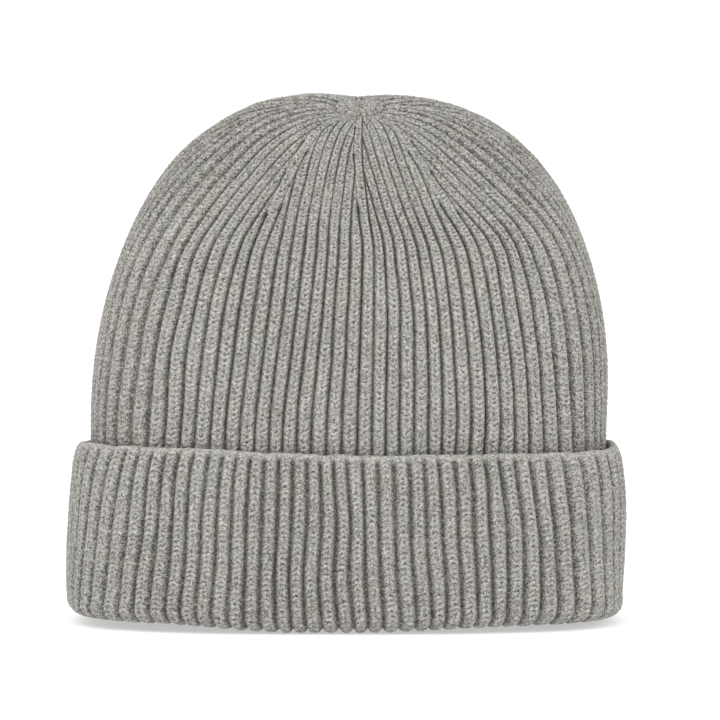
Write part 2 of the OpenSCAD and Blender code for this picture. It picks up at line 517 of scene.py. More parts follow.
def closed_layer(outer_index, inner_index):
    """Triangles of a closed layer: the outer grid, the coarser inner grid turned the other way,
    and the four edges between them. Cells that have shrunk to nothing are left out."""
    parts = [
        grid_triangles(outer_index),
        grid_triangles(inner_index)[:, ::-1],
        strip(outer_index[0], inner_index[0]),
        strip(outer_index[-1], inner_index[-1])[:, ::-1],
        strip(outer_index[:, 0], inner_index[:, 0])[:, ::-1],
        strip(outer_index[:, -1], inner_index[:, -1]),
    ]
    tris = np.concatenate(parts)
    whole = (tris[:, 0] != tris[:, 1]) & (tris[:, 1] != tris[:, 2]) & (tris[:, 0] != tris[:, 2])
    return tris[whole]


def make_mesh(name, points, tris, uv=None, light=None):
    """A smooth-shaded mesh object in metres, with its knit coordinates and its painted light: how open
    each point lies to the light, which the wool paints into its colour.
    """
    used, tris = np.unique(tris, return_inverse=True)
    tris = tris.reshape(-1, 3)
    points = points[used] * MM
    mesh = bpy.data.meshes.new(name)
    mesh.vertices.add(len(points))
    mesh.vertices.foreach_set("co", points.astype(np.float32).ravel())
    mesh.loops.add(tris.size)
    mesh.loops.foreach_set("vertex_index", tris.astype(np.int32).ravel())
    mesh.polygons.add(len(tris))
    mesh.polygons.foreach_set("loop_start", np.arange(0, tris.size, 3, dtype=np.int32))
    mesh.polygons.foreach_set("use_smooth", np.ones(len(tris), bool))
    if uv is not None:
        layer = mesh.uv_layers.new(name="knit")
        layer.data.foreach_set("uv", uv[used][tris.ravel()].astype(np.float32).ravel())
    if light is not None:
        # painted light and shade, which the wool mixes into its colour
        attribute = mesh.attributes.new("painted_light", "FLOAT", "POINT")
        attribute.data.foreach_set("value", light[used].astype(np.float32))
    mesh.update(calc_edges=True)
    mesh.validate()
    piece = bpy.data.objects.new(name, mesh)
    bpy.context.scene.collection.objects.link(piece)
    return piece


def fan(ring, middle):
    """Triangles from a ring of vertex numbers to one vertex in its middle."""
    return np.stack([ring[1:], ring[:-1], np.full(len(ring) - 1, middle)], -1)


def outward(points, tris):
    """The triangles turned so that a closed shape's faces point outwards."""
    a, b, c = points[tris[:, 0]], points[tris[:, 1]], points[tris[:, 2]]
    volume = (a * np.cross(b, c)).sum()
    return tris if volume > 0 else tris[:, ::-1]


def numbered(outer, inner):
    """Vertex numbers of an outer grid and, following on, of its inner grid."""
    count = outer[..., 0].size
    inner_index = count + np.arange(inner[..., 0].size).reshape(inner.shape[:2])
    return np.arange(count).reshape(outer.shape[:2]), inner_index


def listed(outer, inner):
    """The values of an outer grid and then of its inner grid in one list."""
    return np.concatenate([outer.reshape(-1, *outer.shape[2:]), inner.reshape(-1, *inner.shape[2:])])


def make_layer(name, outer, inner, uv, light, inner_light, index=None):
    """A closed layer between an outer grid of points and an inner grid of every second one."""
    points = listed(outer, inner)
    tris = outward(points, closed_layer(*(index or numbered(outer, inner))))
    return make_mesh(name, points, tris, listed(uv, uv[::2, ::2]), listed(light, inner_light))


def odd_rows(start, end, per_stitch):
    """Row numbers from start to end, an odd number of them, so that every second one is a
    row of the coarser inner grid."""
    count = int(math.ceil((end - start) * per_stitch / 2)) * 2 + 1
    return np.linspace(start, end, count)


def rib_columns(ribs):
    """Rib number and place across the rib, from groove to groove, for a run of ribs."""
    number = np.repeat(np.arange(ribs), len(ACROSS))
    across = np.tile(ACROSS, ribs)
    return np.append(number, ribs - 1), np.append(across, 0.5)


def crown_share(row):
    """The share of its ribs that a section of the crown still has at a row: all of them up to
    the first decrease, and then a power of its width, so that the ribs narrow towards the tip."""
    _, kept = side(row)
    _, start = side(CROWN_ROW)
    return np.where(row < CROWN_ROW, 1.0, (kept / start) ** CROWN_DECREASE)


def on_flank(rib):
    """How near a rib is to either side of the hat, 0 to 1, where the knit is pulled flatter."""
    return smooth((np.abs(outline(rib)[0]) - 0.72) / 0.22)


def merging(width, ribs):
    """How a rib ends against a spine. left is what is still seen of the rib beside the spine,
    1 to 0, and joined goes from 0 to 1 where its last part grows into the spine."""
    edge_at = (ribs - width) / 2
    left = 1 - (edge_at - np.floor(edge_at))
    joined = smooth((0.62 - left) / 0.14) * (edge_at > 1e-6)
    return left, joined


# A section never gets narrower than this, in ribs
NARROWEST = 1.15

# The painted light of the inner face: how open its ribs lie to the light, with painted shade in its
# grooves
INNER_LIGHT = 0.75


def join_hole(left, near):
    """The small hole where a groove ends, a fraction of a rib from the spine: it is sunk into the knit
    and darkened with painted shade.
    """
    return 1.3 * bell((left - 0.64) / 0.08) * bell(near / 0.14)


def section_grooves(left, u, v, on_spine, kept, section, before):
    """Distance to the nearest groove, in ribs, and the small holes where grooves end, over one
    section. section and before each give a width now and a full count of ribs, for this section
    and for the one on its left. A rib that ends grows into the spine, so the groove between
    them closes; only the front spine keeps an open groove all along its right-hand side."""
    reach = section[0] / 2 - 0.5
    part, joined = merging(*section)
    part_before, joined_before = merging(*before)
    closes = left != 0
    near_left, near_right = kept + reach, reach - kept
    inside = np.minimum(0.5 - np.abs(u), near_left + joined * closes * part)
    inside = np.minimum(inside, near_right + joined * part)
    on_left = 0.5 - np.abs(u) + joined_before * part_before
    on_right = 0.5 - np.abs(u) + joined * closes * part
    edge = np.where(on_spine, np.where(u < 0, on_left, on_right), inside)
    hole_inside = join_hole(part, near_left) * closes + join_hole(part, near_right)
    hole_spine = np.where(u < 0, join_hole(part_before, 0.5 + u), join_hole(part, 0.5 - u) * closes)
    hole = np.where(on_spine, hole_spine, hole_inside) * (v > CROWN_ROW)
    return np.clip(edge, 0, 0.5), hole


def hat_relief(u, v, edge, hole, number, rib, fine):
    """The relief on the hat. It is flatter on the flanks, where the grooves lie more open, and shallower
    in the crown, where they are narrow slits. It dives under the gathered disc at the tip. Its painted
    light is darkened in the crown, in the holes and under the disc, and just above the cuff's edge a
    band of painted shade stands for that edge's shadow."""
    in_crown = smooth((v - CROWN_ROW) / 12)
    flank = on_flank(rib)
    groove = GROOVE_FLOOR - 0.03 * in_crown * (1 - flank) + 0.07 * flank
    slope = SLOPE - 0.1 * in_crown * (1 - flank) + 0.06 * flank
    height, light = relief(u, v, edge, number, groove, slope)
    flat = FLANK_FLATNESS * flank * (1 - 0.3 * in_crown)
    dive = smooth((v - (TOP_ROW - 1.5)) / 1.5)
    height = height * fine * (1 - 0.2 * in_crown) * (1 - flat) - 0.8 * hole - 1.3 * dive
    light = light * (1 - 0.2 * in_crown) + 0.04 * in_crown * (1 - light) * (1 - flank)
    light = light * (1 - 0.5 * np.clip(hole, 0, 1)) * (1 - 0.2 * dive)
    # painted shade just above the cuff's edge, for the shadow that edge casts
    light = light * (1 - 0.3 * bell((side(v)[0] - CUFF_TOP) / 4.5))
    return height, light


def ended(index, gone, middle, first):
    """Vertex numbers of a section in which the points of ribs that have ended are taken
    together: those left of its middle at the column first, the others at the last column."""
    index = np.where(gone & (middle < 0), index[:, first][:, None], index)
    return np.where(gone & (middle > 0), index[:, -1][:, None], index)


def hat_panel(name, k):
    """One section of the hat, from the band to the tip, with the spine rib on its left. Below
    the crown the ribs run straight up. In the crown the section narrows: its ribs stay parallel
    to its middle and end, one after another, against the spines on either side."""
    left = SPINES[k]
    ribs = SPINES[k + 1] - left
    ribs_before = left - SPINES[k - 1] if k else SPINES[-1] - SPINES[-2]
    number, across = rib_columns(ribs)
    rows = odd_rows(JOIN_ROW, TOP_ROW, ROWS_PER_STITCH)
    u = np.broadcast_to(across, (len(rows), len(across)))
    n = np.broadcast_to(number, u.shape)
    v = np.broadcast_to(rows[:, None], u.shape)
    share = crown_share(v)
    width = np.maximum(ribs * share, NARROWEST)
    width_before = np.maximum(ribs_before * share, NARROWEST)
    reach = width / 2 - 0.5
    middle = (n + u) - ribs / 2
    kept = np.clip(middle, -reach, reach)
    on_spine = n == 0
    rib = left + ribs * (kept / width + 0.5)
    rib = np.where(on_spine & (u < 0), left + ribs_before * u / width_before, rib)
    rib = np.where(on_spine & (u >= 0), left + ribs * u / width, rib)

    section, before = (width, ribs), (width_before, ribs_before)
    edge, hole = section_grooves(left, u, v, on_spine, kept, section, before)
    fine = np.clip(ribs * side(v)[1] / width / 0.9, 0.25, 1.0)
    height, light = hat_relief(u, v, edge, hole, n + left + RIBS, rib, fine)
    if left == 0:
        open_groove = bell(edge / 0.07) * smooth((v - CROWN_ROW + 4) / 6)
        beside = np.where(on_spine, u > 0.2, kept + reach < 0.3)
        height = height - 0.8 * open_groove * beside
    if k == 0:
        # the linked seam up the back sinks the middle of its rib
        height = height - 0.9 * bell(u / 0.1) * on_spine
    normal = normals_of(hat_base, rib, v)
    base = hat_base(rib, v)
    outer = base + normal * height[..., None]
    inner_height = -KNIT_T + RIB_DEPTH * (1 - rib_profile(0.5 - edge)) * fine
    inner = (base + normal * inner_height[..., None])[::2, ::2]
    # painted shade in the inner face's grooves
    inner_light = (INNER_LIGHT * rib_profile(0.5 - edge))[::2, ::2]

    gone = (~on_spine) & (np.abs(middle) > reach + 1e-9)
    outer_index, inner_index = numbered(outer, inner)
    outer_index = ended(outer_index, gone, middle, len(ACROSS))
    inner_index = ended(inner_index, gone[::2, ::2], middle[::2, ::2], len(ACROSS) // 2)
    uv = np.stack([n + u + left, v], -1)
    return make_layer(name, outer, inner, uv, light, inner_light, (outer_index, inner_index))


def band_panel(name, first_rib, ribs):
    """A stretch of the inner band, which the cuff covers."""
    number, across = rib_columns(ribs)
    bottom = row_at(LIP_TOP + 0.4)
    rows = odd_rows(bottom, JOIN_ROW, 3)
    n = np.broadcast_to(number, (len(rows), len(number)))
    u = np.broadcast_to(across, n.shape)
    rib = first_rib + n + u
    # its lower edge rises with the fold's lip, which it meets
    raised = fold_lift(outline(rib)[0]) * (1 - smooth(LIP_TOP / LIFT_FADES)) / STITCH_H
    v = rows[:, None] + raised * (JOIN_ROW - rows[:, None]) / (JOIN_ROW - bottom)
    edge = 0.5 - np.abs(u)
    height, light = relief(u, v, edge, n + first_rib + RIBS)
    normal = normals_of(hat_base, rib, v)
    base = hat_base(rib, v)
    outer = base + normal * height[..., None]
    inner_height = -KNIT_T + RIB_DEPTH * (1 - rib_profile(0.5 - edge))
    inner = (base + normal * inner_height[..., None])[::2, ::2]
    # painted shade in the inner face's grooves
    inner_light = (INNER_LIGHT * rib_profile(0.5 - edge))[::2, ::2]
    return make_layer(name, outer, inner, np.stack([rib, v], -1), light, inner_light)


def cuff_panel(name, first_rib, ribs):
    """A stretch of the cuff: from its closed top edge down the outside, round the fold, and up
    to the lip inside, backed by its hidden face. The V stitches point up, because the cuff is
    the band turned over, and the grooves close at the top edge."""
    number, across = rib_columns(ribs)
    total = CUFF_OUTER_PATH[0][-1]
    rows = odd_rows(0, total / STITCH_H, ROWS_PER_STITCH)[::-1]
    n = np.broadcast_to(number, (len(rows), len(number)))
    u = np.broadcast_to(across, n.shape)
    v = np.broadcast_to(rows[:, None], n.shape)
    rib = first_rib + n + u

    def outer_face(r, w):
        return cuff_base(r, w * STITCH_H, CUFF_OUTER_PATH)

    def hidden_face(r, w):
        return cuff_base(r, w * STITCH_H * CUFF_HIDDEN_PATH[0][-1] / total, CUFF_HIDDEN_PATH)

    edge = 0.5 - np.abs(u)
    height, light = relief(u, v, edge, n + first_rib + 2 * RIBS, CUFF_GROOVE, CUFF_SLOPE)
    along = v * STITCH_H
    under = smooth((along - CUFF_TOP + 4) / 8)
    height = height * (1 - 0.4 * under) * (1 - FLANK_FLATNESS * on_flank(rib))
    closed_top = smooth((along - 2.2) / 3.2)
    height = height * (0.18 + 0.82 * closed_top)
    # painted light: the painted groove shade fades out where the grooves close at the top edge
    light = light * closed_top + (1 - closed_top) * np.maximum(light, 0.8)
    lip = smooth((total - along) / 3.0)
    height = height * (0.4 + 0.6 * lip)
    # the path runs from the top edge downwards, so its normal is the other way round
    normal = -normals_of(outer_face, rib, v)
    outer = outer_face(rib, v) + normal * height[..., None]
    hidden = hidden_face(rib, v)[::2, ::2]
    # painted half shade on the hidden face
    hidden_light = np.full(hidden.shape[:2], 0.5)
    return make_layer(name, outer, hidden, np.stack([rib, v], -1), light, hidden_light)


GATHER_RAYS = 22
GATHER_OVERLAP = 1.12
GATHER_RUNGS = 4.5
TIP_SHARE = TIP_HALF_W / BODY_HALF_W


def tip_frame():
    """The middle of the tip's outer face, and the direction it faces."""
    here = hat_point(np.array(0.0), np.array(HAT_UP), np.array(0.0), 0.0)
    angle = math.radians(LEAN_DEG)
    return here, np.array([0.0, -math.sin(angle), math.cos(angle)])


def gather_disc(name):
    """The stitches drawn together at the tip: a disc of fine folds that run to the middle,
    which is pulled in. Its height is a cosine round the disc, growing towards the rim."""
    ribs = np.linspace(-RIBS / 2, RIBS / 2, GATHER_RAYS * 12 + 1)
    out = np.linspace(0.03, 1.0, 25)
    rib, out = np.meshgrid(ribs, out)
    kept = out * TIP_SHARE * GATHER_OVERLAP
    z = SHOULDER_Z + (HAT_UP - SHOULDER_Z) * (1 - kept**FULL_ACROSS) ** (1 / FULL_UP)
    turn = rib / RIBS * 2 * math.pi
    ray = rib / RIBS * GATHER_RAYS + 0.45 * grain(3 * np.cos(turn) + 9, 3 * np.sin(turn) + out, 41)
    fold = ripple(ray)
    rung = ripple(out * GATHER_RUNGS + 0.5 * fold)
    full = 0.75 + 0.35 * grain(5 * np.cos(turn) + 3, 5 * np.sin(turn) + 3, 42)
    height = 0.5 + (fold**0.7 - 0.6) * 1.4 * full * out**0.8 + 0.25 * rung * fold * out
    height = height - 1.2 * bell(out / 0.16) - 1.1 * smooth((out - 0.84) / 0.16)
    height = height + 0.16 * grain(8 * np.cos(turn) * out + 20, 8 * np.sin(turn) * out + 20, 43)
    # painted light on the tops of the folds, and painted shade in the pulled-in middle
    light = 0.4 + 0.75 * fold**1.1 * full * (0.7 + 0.3 * rung)
    light = light * (1 - 0.4 * bell(out / 0.14))
    _, facing = tip_frame()
    base = hat_point(rib, z, kept, -0.5)
    outer = base + facing * height[..., None]
    inner = (base - facing * (KNIT_T - 0.8))[::2, ::2]
    outer_index, inner_index = numbered(outer, inner)
    outer_index[:, -1] = outer_index[:, 0]
    inner_index[:, -1] = inner_index[:, 0]
    # one point each closes the small hole in the middle of the two faces
    middle = np.stack([outer[0, :-1].mean(0) - 0.4 * facing, inner[0, :-1].mean(0)])
    count = rib.size + inner[..., 0].size
    tris = np.concatenate(
        [
            grid_triangles(outer_index)[:, ::-1],
            grid_triangles(inner_index),
            strip(outer_index[-1], inner_index[-1]),
            fan(outer_index[0], count),
            fan(inner_index[0], count + 1)[:, [1, 0, 2]],
        ]
    )
    points = np.concatenate([listed(outer, inner), middle])
    uv = np.stack([ray, out * GATHER_RUNGS], -1)
    uvs = np.concatenate([listed(uv, uv[::2, ::2]), np.zeros((2, 2))])
    # painted shade at the middle points of both faces
    lights = np.concatenate([listed(light, np.full(inner.shape[:2], 0.5)), [0.2, 0.4]])
    return make_mesh(name, points, tris, uvs, lights)


def ring_tube(path, radius, turns, around=12):
    """Points, triangles and knit coordinates of a closed loop of plied yarn: a circle carried
    along the loop, its radius raised on three plies that wind round it."""
    ahead = np.roll(path, -1, axis=0) - np.roll(path, 1, axis=0)
    ahead /= np.linalg.norm(ahead, axis=1, keepdims=True)
    sideways = np.cross(ahead, path - path.mean(0))
    sideways /= np.linalg.norm(sideways, axis=1, keepdims=True)
    upward = np.cross(ahead, sideways)
    along = np.arange(len(path))[:, None] / len(path)
    turn = np.arange(around)[None, :] / around * 2 * math.pi
    swell = radius * (1 + 0.16 * np.cos(3 * turn + 2 * math.pi * turns * along))[..., None]
    ring = np.cos(turn)[..., None] * sideways[:, None] + np.sin(turn)[..., None] * upward[:, None]
    points = path[:, None] + swell * ring
    index = np.arange(len(path) * around).reshape(len(path), around)
    index = np.vstack([index, index[:1]])
    index = np.hstack([index, index[:, :1]])
    uv = np.stack([turn / 2 + 0 * along, along * turns + 0 * turn], -1)
    return points.reshape(-1, 3), grid_triangles(index), uv.reshape(-1, 2)


def tip_place(local):
    """Carries points made round the origin to the inside of the tip, facing as it faces."""
    here, facing = tip_frame()
    forwards = np.cross(np.array([1.0, 0.0, 0.0]), facing)
    local = np.asarray(local)
    return here + local[:, :1] * [1, 0, 0] - local[:, 1:2] * forwards + local[:, 2:] * facing


THREAD_R = 0.62


def thread_ring(name):
    """The drawn thread: two slack turns of plied yarn, a circle whose height and radius vary."""
    turn = np.linspace(0, 4 * math.pi, 360, endpoint=False)
    radius = 2.9 + 0.55 * np.cos(turn / 2) + 0.2 * np.cos(3 * turn)
    height = -KNIT_T - 0.6 + 0.45 * np.sin(turn / 2) + 0.15 * np.sin(5 * turn)
    path = np.stack([radius * np.cos(turn), radius * np.sin(turn), height], -1)
    points, tris, uv = ring_tube(tip_place(path), THREAD_R, 40)
    return make_mesh(name, points, outward(points, tris), uv, np.full(len(points), 0.8))


def thread_knot(name):
    """The knot in the drawn thread: a trefoil, (sin t + 2 sin 2t, cos t - 2 cos 2t, -sin 3t)."""
    turn = np.linspace(0, 2 * math.pi, 200, endpoint=False)
    path = np.stack(
        [
            np.sin(turn) + 2 * np.sin(2 * turn),
            np.cos(turn) - 2 * np.cos(2 * turn),
            -np.sin(3 * turn) * 1.3,
        ],
        -1,
    )
    path = path * THREAD_R + [0, 0, -KNIT_T - 3.4]
    points, tris, uv = ring_tube(tip_place(path), THREAD_R, 22)
    return make_mesh(name, points, outward(points, tris), uv, np.full(len(points), 0.8))


def seam_ridge(name, surface, rows, half_width, depth, centre, pitch):
    """A linked seam: a flattened tube that follows a surface along one rib. Its cross-section
    is a superellipse, and its height ripples once for each stitch that it links."""
    turn = np.linspace(0, 2 * math.pi, 25)
    row, turn = np.meshgrid(rows, turn, indexing="ij")
    ends = np.clip(np.minimum(row - rows.min(), rows.max() - row) / 0.8, 0, 1) ** 0.5
    x = np.sign(np.cos(turn)) * np.abs(np.cos(turn)) ** 0.7 * half_width
    h = np.sign(np.sin(turn)) * np.abs(np.sin(turn)) ** 0.8 * depth / 2
    loop = ripple(row + 0.35 * np.sign(x) * np.abs(x / half_width))
    h = (h * (0.78 + 0.3 * loop) + 0.06 * grain(x * 1.3, row * 2, 47)) * ends
    rib = RIBS / 2 + x * (0.94 + 0.06 * loop) * (0.3 + 0.7 * ends) / pitch(row)
    points = surface(rib, row) + normals_of(surface, rib, row) * (centre + h)[..., None]
    index = np.arange(row.size).reshape(row.shape)
    index[:, -1] = index[:, 0]
    count = row.size
    middle = np.stack([points[0, :-1].mean(0), points[-1, :-1].mean(0)])
    start_cap = fan(index[0], count)
    end_cap = fan(index[-1], count + 1)[:, [1, 0, 2]]
    points = np.concatenate([points.reshape(-1, 3), middle])
    tris = outward(points, np.concatenate([grid_triangles(index), start_cap, end_cap]))
    uv = np.stack([x / 3, row], -1).reshape(-1, 2)
    uv = np.concatenate([uv, np.zeros((2, 2))])
    # painted light, lighter on each raised loop of the seam
    light = np.concatenate([(0.45 + 0.5 * loop).ravel(), [0.5, 0.5]])
    return make_mesh(name, points, tris, uv, light)


def hat_seam(name):
    """The back seam inside the hat, from the brim to near the tip."""
    rows = np.arange(row_at(BAND_BOTTOM + 3.5), TOP_ROW - 6, 0.2)

    def pitch(row):
        return RIB_PITCH * np.maximum(side(row)[1], 0.12)

    return seam_ridge(name, hat_base, rows, SEAM_W / 2, SEAM_D, -KNIT_T - SEAM_D / 2 + 0.3, pitch)


def turned_seam(name):
    """The same seam where it crosses the cuff, flat against the cuff's hidden face."""
    length, z = CUFF_HIDDEN_PATH[0], CUFF_HIDDEN_PATH[1][:, 1]
    # the path falls as far as the bottom of the fold, where the seam has already ended
    down = int(np.argmin(z)) + 1
    start, end = np.interp([6 - CUFF_TOP, -9.0], -z[:down], length[:down])

    def hidden(rib, row):
        return cuff_base(rib, row * STITCH_H, CUFF_HIDDEN_PATH)

    def pitch(row):
        return 5.9 + 0 * row

    rows = np.arange(start / STITCH_H, end / STITCH_H, 0.2)
    return seam_ridge(name, hidden, rows, CUFF_SEAM_W / 2, 0.9, 0.5, pitch)


# The label's flat size in millimetres
LABEL_W = 26
LABEL_H = 40


def label_sheet(name):
    """The blank label: a sheet caught along one side in the back seam, its free edge curling
    away from the knit as the square of the distance from the seam."""
    low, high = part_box("care_label")
    across, up = np.meshgrid(np.linspace(0, 1, 53), np.linspace(0, 1, 81))
    x = low.x / MM + across * (high.x - low.x) / MM
    z = low.z / MM + up * (high.z - low.z) / MM
    bow = 0.5 * np.sin(math.pi * up * 1.3 + 0.4) * across - 1.6 * across**2
    y = 0.5 * (low.y + high.y) / MM + bow - 0.25
    front = np.stack([x, y - 0.2, z], -1)
    back = np.stack([x, y + 0.2, z], -1)[::2, ::2]
    uv = np.stack([across * LABEL_W, up * LABEL_H], -1)
    return make_layer(name, front, back, uv, np.ones(x.shape), np.ones(back.shape[:2]))


def label_tacks(name, count=7):
    """The stitches that hold the label: short capsules of thread, one above another along its
    caught edge, each leaning a little."""
    low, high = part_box("label_stitches")
    along = np.linspace(-1, 1, 17)
    turn = np.linspace(0, 2 * math.pi, 13)[:-1]
    each, along, turn = np.meshgrid(np.arange(count), along, turn, indexing="ij")
    plies = 1 + 0.12 * np.cos(3 * turn + 9 * along)
    radius = 0.42 * np.sqrt(np.clip(1.0001 - along**4, 0, 1)) * plies
    pitch = (high.z - low.z) / MM / count
    x = 0.5 * (low.x + high.x) / MM - 0.2 + radius * np.cos(turn) + 0.35 * along
    z = low.z / MM + (each + 0.5) * pitch + 1.5 * along
    y = 0.5 * (low.y + high.y) / MM + 0.1 + radius * np.sin(turn) * 0.8 + 0.35 * along**2
    points = np.stack([x, y, z], -1)
    index = np.arange(points[..., 0].size).reshape(points.shape[:3])
    index = np.concatenate([index, index[:, :, :1]], 2)
    tris = np.concatenate([grid_triangles(index[k]) for k in range(count)])
    points = points.reshape(-1, 3)
    uv = np.stack([turn / 6, along * 2], -1).reshape(-1, 2)
    return make_mesh(name, points, outward(points, tris), uv, np.full(len(points), 0.85))


# ---------------------------------------------------------------- materials

# Pale and dark wool, and its patches: pinkish, bluish and greenish. The dark wool is also the painted
# shade of the grooves, holes and the cuff's edge
WOOL_LIGHT = (0.56, 0.545, 0.508)
WOOL_DARK_AND_SHADE = (0.07, 0.066, 0.058)
WOOL_PATCHES = [
    (55.0, 0.53, 0.8, (0.60, 0.53, 0.495)),
    (75.0, 0.54, 0.7, (0.50, 0.545, 0.54)),
    (62.0, 0.55, 0.75, (0.53, 0.54, 0.46)),
]
SATIN_LIGHT = (0.80, 0.79, 0.76)
SATIN_DARK = (0.62, 0.61, 0.58)
# The seam yarn's and the label thread's dark ends are also the painted shade between their plies
SEAM_LIGHT = (0.40, 0.385, 0.36)
SEAM_DARK_AND_SHADE = (0.12, 0.115, 0.105)
TACK_LIGHT = (0.55, 0.54, 0.52)
TACK_DARK_AND_SHADE = (0.22, 0.215, 0.205)


class Socket:
    """An output socket, so that shader maths can be written as an expression."""

    def __init__(self, tree, socket):
        self.tree = tree
        self.socket = socket

    def _math(self, operation, *values):
        return self.tree.add("ShaderNodeMath", {"operation": operation}, *values)

    def __add__(self, other):
        return self._math("ADD", self, other)

    __radd__ = __add__

    def __sub__(self, other):
        return self._math("SUBTRACT", self, other)

    def __rsub__(self, other):
        return self._math("SUBTRACT", other, self)

    def __mul__(self, other):
        return self._math("MULTIPLY", self, other)

    __rmul__ = __mul__

    def abs(self):
        return self._math("ABSOLUTE", self)

    def fract(self):
        return self._math("FRACT", self)

    def clamp(self):
        return self.tree.add("ShaderNodeClamp", {}, self)


class Tree:
    """A material's node tree, with one method that adds any node."""

    def __init__(self, name):
        self.material = bpy.data.materials.new(name)
        self.material.use_nodes = True
        self.nodes = self.material.node_tree.nodes
        self.links = self.material.node_tree.links
        self.shader = self.nodes["Principled BSDF"]

    def add(self, kind, settings=None, *values, output=0, **named):
        """A node of a type: its settings first, then the values or links of its inputs."""
        node = self.nodes.new(kind)
        for key, value in (settings or {}).items():
            setattr(node, key, value)
        for key, value in list(enumerate(values)) + list(named.items()):
            if isinstance(key, str):
                key = key.replace("_", " ")
            self.put(node.inputs[key], value)
        return Socket(self, node.outputs[output])

    def put(self, target, value):
        if isinstance(value, Socket):
            self.links.new(value.socket, target)
        elif value is not None:
            target.default_value = value

    def mix(self, amount, a, b):
        """Blend of two colours."""
        node = self.nodes.new("ShaderNodeMix")
        node.data_type = "RGBA"
        self.put(node.inputs[0], amount)
        self.put(node.inputs[6], a)
        self.put(node.inputs[7], b)
        return Socket(self, node.outputs[2])

    def knit_place(self):
        """Where a point lies in the knit: across in ribs, and up in stitches."""
        knit = self.add("ShaderNodeUVMap", {"uv_map": "knit"})
        across = self.add("ShaderNodeSeparateXYZ", {}, knit)
        return across, self.add("ShaderNodeSeparateXYZ", {}, knit, output=1)

    def object_place(self):
        """Where a point lies in the object, in metres."""
        return self.add("ShaderNodeTexCoord", {}, output=3)

    def noise(self, vector, scale, detail=2.0, roughness=0.5):
        return self.add(
            "ShaderNodeTexNoise", {}, Vector=vector, Scale=scale, Detail=detail, Roughness=roughness
        )


def colour(r, g, b):
    return (r, g, b, 1.0)


def knit_wool(name, light, dark, patches):
    """Heathered wool: a warm grey speckled with single pale and dark fibres that lie along the legs of
    the stitches, with faint tinted patches, painted shade in the grooves and holes and painted light on
    the legs, and a soft fuzzy bump. Each patch has its scale, the noise value where it starts, its
    strength and its tint."""
    tree = Tree(name)
    place = tree.object_place()
    across, up = tree.knit_place()
    half = ((across + 0.5).fract() - 0.5).abs()
    phase = up - half * (2 * LEG_SLOPE)
    fibres_at = tree.add("ShaderNodeCombineXYZ", {}, across * 3.4, phase * 5.0, phase * 0.7)
    strands_at = tree.add("ShaderNodeCombineXYZ", {}, across * 1.6, phase * 2.6, across * 0.9)
    fibres = tree.noise(fibres_at, 1.0, 3.0, 0.7)
    strands = tree.noise(strands_at, 1.0, 2.0, 0.6)
    fuzz = tree.noise(place, 800.0, 4.0, 0.75)
    speck = tree.noise(place, 1500.0, 2.0, 0.6)
    cloud = tree.noise(place, 24.0, 2.0, 0.5)
    painted_light = tree.add("ShaderNodeAttribute", {"attribute_name": "painted_light"}, output=2)

    flecks = (fibres - 0.5) * 1.0 + (fuzz - 0.5) * 1.5 + (speck - 0.5) * 1.9 + (strands - 0.5) * 0.3
    # the mesh's painted light darkens the tone where shade falls
    tone = (painted_light * 0.55 + 0.10 + flecks + (cloud - 0.5) * 0.16).clamp()
    base = tree.mix(tone, colour(*dark), colour(*light))
    for scale, start, strength, tint in patches:
        patch = tree.noise(place, scale, 3.0, 0.6)
        amount = ((patch - start) * 5).clamp() * strength
        base = tree.mix(amount, base, tree.mix(tone, colour(*dark), colour(*tint)))
    tree.put(tree.shader.inputs["Base Color"], base)
    height = fibres * 0.6 + fuzz * 1.0 + strands * 0.4 + speck * 0.5
    bump = tree.add("ShaderNodeBump", {}, Strength=0.6, Distance=0.0007, Height=height)
    tree.put(tree.shader.inputs["Normal"], bump)
    tree.shader.inputs["Roughness"].default_value = 0.95
    tree.shader.inputs["Specular IOR Level"].default_value = 0.1
    tree.shader.inputs["Sheen Weight"].default_value = 0.12
    tree.shader.inputs["Sheen Roughness"].default_value = 0.6
    tree.shader.inputs["Sheen Tint"].default_value = colour(0.9, 0.88, 0.85)
    return tree.material


def satin_weave(name):
    """Woven satin ribbon: off-white, with fine warp ribs, a few uneven threads, and a sheen."""
    tree = Tree(name)
    across, up = tree.knit_place()
    warp = ((across * 4.0).fract() - 0.5).abs()
    weft = ((up * 3.0 + (across * 2.0).fract().abs()).fract() - 0.5).abs()
    threads_at = tree.add("ShaderNodeCombineXYZ", {}, across * 0.4, up * 3.0, 0.0)
    uneven = tree.noise(threads_at, 1.0, 3.0, 0.6)
    tone = (uneven * 0.8 + warp * 0.3 + weft * 0.2).clamp()
    tree.put(tree.shader.inputs["Base Color"], tree.mix(tone, colour(*SATIN_DARK), colour(*SATIN_LIGHT)))
    height = warp + weft * 0.5 + uneven
    bump = tree.add("ShaderNodeBump", {}, Strength=0.3, Distance=0.0002, Height=height)
    tree.put(tree.shader.inputs["Normal"], bump)
    tree.put(tree.shader.inputs["Roughness"], uneven * 0.2 + 0.32)
    tree.shader.inputs["Specular IOR Level"].default_value = 0.5
    return tree.material


